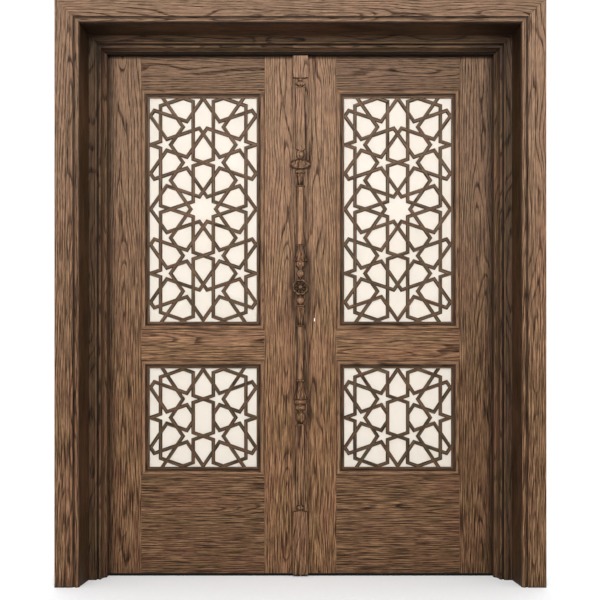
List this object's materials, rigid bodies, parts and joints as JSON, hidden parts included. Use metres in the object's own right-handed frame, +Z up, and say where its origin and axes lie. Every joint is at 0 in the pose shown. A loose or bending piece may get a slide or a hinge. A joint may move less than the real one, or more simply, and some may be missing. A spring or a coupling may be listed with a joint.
{
  "type": "wooden double door",
  "caption": "Double-leaf oak door in a moulded portal frame, with star-pattern lattices over frosted panes and a carved astragal.",
  "frame": {"origin": "on the floor, under the middle of the whole object's width and depth", "axes": "+Z up, +X to the right and +Y from the front casing to the back, as the picture sees the door"},
  "size_m": [1.97, 0.2542, 2.36],
  "materials": {
    "oak_frame": "brown stained open-grain oak, satin varnish",
    "oak_leaf": "brown stained open-grain oak, satin varnish",
    "oak_trim": "brown stained oak, satin varnish, darker in the quirks",
    "oak_lattice": "brown stained oak straps, satin varnish",
    "frosted_glass": "cream-white frosted glass",
    "hinge_steel": "brushed steel, darkened"
  },
  "bodies": {
    "frame": {"casing_left": "oak_frame", "casing_right": "oak_frame", "casing_head": "oak_frame", "lining_left": "oak_frame", "lining_right": "oak_frame", "lining_head": "oak_frame", "jamb_left": "oak_frame", "jamb_right": "oak_frame", "jamb_head": "oak_frame", "left_hinge_1_frame": "hinge_steel", "left_hinge_2_frame": "hinge_steel", "left_hinge_3_frame": "hinge_steel", "right_hinge_1_frame": "hinge_steel", "right_hinge_2_frame": "hinge_steel", "right_hinge_3_frame": "hinge_steel"},
    "left_leaf": {"left_hinge_stile": "oak_leaf", "left_meeting_stile": "oak_leaf", "left_bottom_rail": "oak_leaf", "left_lock_rail": "oak_leaf", "left_top_rail": "oak_leaf", "left_lower_moulding": "oak_trim", "left_lower_lattice": "oak_lattice", "left_lower_pane": "frosted_glass", "left_lower_rear_bead": "oak_trim", "left_upper_moulding": "oak_trim", "left_upper_lattice": "oak_lattice", "left_upper_pane": "frosted_glass", "left_upper_rear_bead": "oak_trim", "left_hinge_1_leaf": "hinge_steel", "left_hinge_2_leaf": "hinge_steel", "left_hinge_3_leaf": "hinge_steel", "astragal_board": "oak_trim", "astragal_column": "oak_trim"},
    "right_leaf": {"right_hinge_stile": "oak_leaf", "right_meeting_stile": "oak_leaf", "right_bottom_rail": "oak_leaf", "right_lock_rail": "oak_leaf", "right_top_rail": "oak_leaf", "right_lower_moulding": "oak_trim", "right_lower_lattice": "oak_lattice", "right_lower_pane": "frosted_glass", "right_lower_rear_bead": "oak_trim", "right_upper_moulding": "oak_trim", "right_upper_lattice": "oak_lattice", "right_upper_pane": "frosted_glass", "right_upper_rear_bead": "oak_trim", "right_hinge_1_leaf": "hinge_steel", "right_hinge_2_leaf": "hinge_steel", "right_hinge_3_leaf": "hinge_steel"}
  },
  "joints": [
    {"name": "right_leaf_hinge", "type": "hinge", "parent": "frame", "child": "right_leaf", "pos_m": [0.8247, 0.12015, 1.1], "axis": [0, 0, -1], "range_deg": [0, 100]},
    {"name": "left_leaf_hinge", "type": "hinge", "parent": "frame", "child": "left_leaf", "pos_m": [-0.8247, 0.12015, 1.1], "axis": [0, 0, 1], "range_deg": [0, 90]}
  ],
  "couplings": [
    {"joint": "left_leaf_hinge", "follows": "right_leaf_hinge", "ratio": 0.9}
  ]
}
